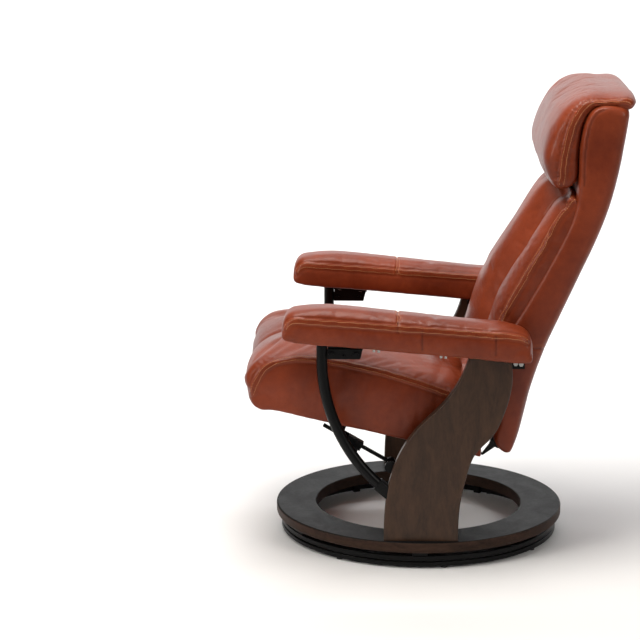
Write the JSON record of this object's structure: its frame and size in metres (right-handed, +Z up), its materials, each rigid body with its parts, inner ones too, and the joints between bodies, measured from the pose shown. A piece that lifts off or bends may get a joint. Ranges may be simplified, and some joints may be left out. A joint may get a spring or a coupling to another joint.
{
  "type": "recliner armchair",
  "caption": "Leather recliner armchair with head pillow and padded arms, on S-shaped wooden legs, bow tubes and a round wooden swivel ring.",
  "frame": {"origin": "on the floor, on the swivel axis at the centre of the ring base", "axes": "+Z up, the chair faces -Y, +X is the sitter's left"},
  "size_m": [0.71, 0.8567, 1.0484],
  "materials": {
    "leather": "semi-gloss reddish brown leather, pebbled, double stitched",
    "walnut_wood": "dark walnut stain, satin",
    "ring_wood": "dark walnut stain on the rim, black satin top",
    "black_steel": "black powder coat, semi-gloss",
    "bright_steel": "zinc plated",
    "plywood": "bare plywood",
    "black_plastic": "matt",
    "webbing": "woven elastic"
  },
  "bodies": {
    "base": {"floor_ring": "black_steel", "floor_glides": "black_plastic", "bearing_balls": "bright_steel", "ball_cage": "black_plastic"},
    "turntable": {"arm_board_left": "plywood", "arm_board_right": "plywood", "arm_bracket_left": "black_steel", "arm_bracket_right": "black_steel", "arm_pad_left": "leather", "arm_pad_right": "leather", "arm_screws": "bright_steel", "bow_tube_left": "black_steel", "bow_tube_right": "black_steel", "bracket_bolts": "black_steel", "clip_screws": "bright_steel", "cross_tube_plates": "black_steel", "cross_tube_screws": "bright_steel", "cross_tubes": "black_steel", "ferrule_studs": "bright_steel", "leg_left": "walnut_wood", "leg_right": "walnut_wood", "leg_screws": "bright_steel", "leg_top_plate_left": "black_steel", "leg_top_plate_right": "black_steel", "lug_screws": "bright_steel", "pad_screws": "bright_steel", "pivot_pins": "bright_steel", "pivot_spacers": "black_steel", "plate_bolts": "bright_steel", "rail_saddles": "black_steel", "retaining_hooks": "black_steel", "ring_clips": "black_steel", "slide_rail_left": "black_steel", "slide_rail_right": "black_steel", "strut_lug": "black_steel", "swivel_ring": "black_steel", "tube_ferrule_left": "black_steel", "tube_ferrule_right": "black_steel", "wood_ring": "ring_wood"},
    "seat": {"seat_board": "plywood", "seat_cushion": "leather", "seat_runner_left": "black_plastic", "seat_runner_right": "black_plastic", "yoke_plate_left": "black_steel", "yoke_plate_right": "black_steel", "clamp_hanger": "black_steel"},
    "back": {"back_shell": "leather", "back_pad": "leather", "back_side_plate_left": "black_steel", "back_side_plate_right": "black_steel", "back_cross_tubes": "black_steel", "back_webbing": "webbing", "pivot_bushes": "black_plastic", "yoke_pins": "bright_steel", "headrest_guides": "black_plastic"},
    "pillow": {"head_pillow": "leather", "headrest_rods": "bright_steel"},
    "strut_rod": {"strut_rod": "black_steel"},
    "strut_clamp": {"strut_clamp": "black_steel"},
    "lock_knob": {"lock_knob": "black_plastic"}
  },
  "joints": [
    {"name": "swivel", "type": "hinge", "parent": "base", "child": "turntable", "pos_m": [0, 0, 0], "axis": [0, 0, 1], "continuous": true},
    {"name": "recline", "type": "hinge", "parent": "turntable", "child": "back", "pos_m": [0, 0.178, 0.392], "axis": [-1, 0, 0], "range_deg": [0, 20]},
    {"name": "seat_slide", "type": "slide", "parent": "turntable", "child": "seat", "axis": [0, -0.9763, 0.2164], "range_m": [0, 0.0446]},
    {"name": "headrest_height", "type": "slide", "parent": "back", "child": "pillow", "axis": [0, 0.0401, 0.9992], "range_m": [0, 0.04]},
    {"name": "strut_rod_pivot", "type": "hinge", "parent": "turntable", "child": "strut_rod", "pos_m": [0.245, -0.066, 0.222], "axis": [1, 0, 0], "range_deg": [0, 4.7]},
    {"name": "strut_clamp_pivot", "type": "hinge", "parent": "seat", "child": "strut_clamp", "pos_m": [0.245, -0.17719, 0.28542], "axis": [1, 0, 0], "range_deg": [0, 4.7]},
    {"name": "lock_knob_turn", "type": "hinge", "parent": "strut_clamp", "child": "lock_knob", "pos_m": [0.245, -0.14591, 0.26758], "axis": [0, -0.4955, -0.8686], "range_deg": [0, 180]}
  ],
  "couplings": [
    {"joint": "seat_slide", "follows": "recline", "m_per_rad": 0.12735},
    {"joint": "strut_rod_pivot", "follows": "recline", "ratio": 0.23},
    {"joint": "strut_clamp_pivot", "follows": "recline", "ratio": 0.23}
  ]
}
